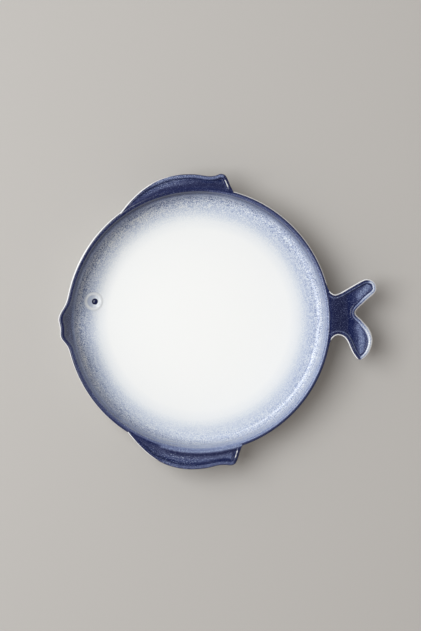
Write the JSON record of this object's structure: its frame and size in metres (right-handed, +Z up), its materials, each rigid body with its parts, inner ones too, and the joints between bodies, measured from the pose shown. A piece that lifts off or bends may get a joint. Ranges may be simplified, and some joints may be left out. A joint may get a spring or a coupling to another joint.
{
  "type": "pasta plate",
  "caption": "Round coved stoneware pasta plate shaped as a fish, with a pinched snout, fin ledges, a forked tail to hold it by, an eye in relief and a foot ring.",
  "frame": {"origin": "on the table plane, under the middle of the plate's length and width", "axes": "+X from the snout to the tail, +Y to the dorsal fin, +Z up out of the well"},
  "size_m": [0.264, 0.2442, 0.036],
  "materials": {
    "well_glaze": "glossy white glaze, sprayed cobalt blue towards the lip",
    "bare_clay": "unglazed, wiped stoneware",
    "fin_glaze": "glossy cobalt blue glaze, paler on the raised border",
    "tail_glaze": "glossy cobalt blue glaze, breaking white on the edges",
    "eye_glaze": "glossy pale glaze",
    "pupil_glaze": "glossy navy glaze"
  },
  "bodies": {
    "root": {"plate_body": "well_glaze", "foot_ring": "bare_clay", "dorsal_fin": "fin_glaze", "ventral_fin": "fin_glaze", "tail": "tail_glaze", "eye_ring": "eye_glaze", "eye_pupil": "pupil_glaze"}
  },
  "joints": []
}
